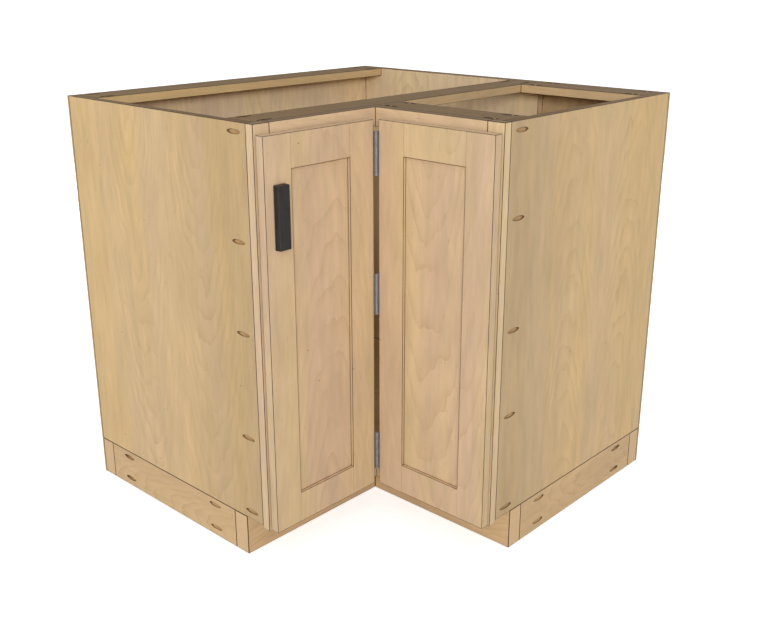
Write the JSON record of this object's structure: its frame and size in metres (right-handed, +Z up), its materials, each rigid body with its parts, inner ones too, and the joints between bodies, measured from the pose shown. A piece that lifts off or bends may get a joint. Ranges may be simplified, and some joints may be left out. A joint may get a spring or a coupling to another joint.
{
  "type": "corner base cabinet",
  "caption": "Square kitchen corner base cabinet with an L-shaped front, open top, recessed toe kick, face frame and hinged shaker doors that fold together at the inside corner.",
  "frame": {"origin": "centre of the square footprint, on the floor under the toe kick", "axes": "+Z up; +X and +Y point at the two walls of the room corner, the left doorway faces -Y and the right doorway faces -X"},
  "size_m": [0.9144, 0.9144, 0.889],
  "materials": {
    "plywood": "satin",
    "frame_wood": "satin",
    "door_wood": "satin",
    "stud_wood": "raw",
    "hinge_steel": "satin",
    "screw_steel": "zinc plated",
    "pull_black": "matt black",
    "bumper": "soft clear"
  },
  "bodies": {
    "cabinet": {"toe_kick_front_left": "stud_wood", "toe_kick_front_right": "stud_wood", "toe_kick_back_left": "stud_wood", "toe_kick_back_right": "stud_wood", "toe_kick_side_left": "stud_wood", "toe_kick_side_right": "stud_wood", "toe_kick_pocket_screws": "screw_steel", "bottom_panel": "plywood", "left_side_panel": "plywood", "right_side_panel": "plywood", "left_back_panel": "plywood", "right_back_panel": "plywood", "left_back_skin": "plywood", "right_back_skin": "plywood", "back_left_stretcher": "plywood", "long_front_stretcher": "plywood", "right_front_stretcher": "plywood", "right_back_stretcher": "plywood", "stretcher_pocket_screws": "screw_steel", "side_panel_pocket_screws": "screw_steel", "left_stile": "frame_wood", "right_stile": "frame_wood", "left_top_rail": "frame_wood", "right_top_rail": "frame_wood", "left_bottom_rail": "frame_wood", "right_bottom_rail": "frame_wood", "upper_hinge_arm": "hinge_steel", "lower_hinge_arm": "hinge_steel", "hinge_arm_screws": "screw_steel"},
    "right_door": {"right_door_outer_stile": "door_wood", "right_door_inner_stile": "door_wood", "right_door_top_rail": "door_wood", "right_door_bottom_rail": "door_wood", "right_door_panel": "door_wood", "right_door_bumpers": "bumper", "upper_hinge_cup": "hinge_steel", "lower_hinge_cup": "hinge_steel", "upper_hinge_cup_pin": "hinge_steel", "lower_hinge_cup_pin": "hinge_steel", "hinge_cup_screws": "screw_steel", "corner_hinge_right_screws": "screw_steel", "upper_corner_hinge_right_leaf": "hinge_steel", "middle_corner_hinge_right_leaf": "hinge_steel", "lower_corner_hinge_right_leaf": "hinge_steel", "upper_corner_hinge_pin": "hinge_steel", "middle_corner_hinge_pin": "hinge_steel", "lower_corner_hinge_pin": "hinge_steel"},
    "left_door": {"left_door_outer_stile": "door_wood", "left_door_inner_stile": "door_wood", "left_door_top_rail": "door_wood", "left_door_bottom_rail": "door_wood", "left_door_panel": "door_wood", "left_door_bumpers": "bumper", "pull": "pull_black", "pull_screws": "screw_steel", "corner_hinge_left_screws": "screw_steel", "upper_corner_hinge_left_leaf": "hinge_steel", "middle_corner_hinge_left_leaf": "hinge_steel", "lower_corner_hinge_left_leaf": "hinge_steel"}
  },
  "joints": [
    {"name": "right_door_hinge", "type": "hinge", "parent": "cabinet", "child": "right_door", "pos_m": [-0.15955, -0.4463, 0.4779], "axis": [0, 0, 1], "range_deg": [0, 105]},
    {"name": "left_door_fold", "type": "hinge", "parent": "right_door", "child": "left_door", "pos_m": [-0.1735, -0.1735, 0.4779], "axis": [0, 0, 1], "range_deg": [0, 85]}
  ]
}
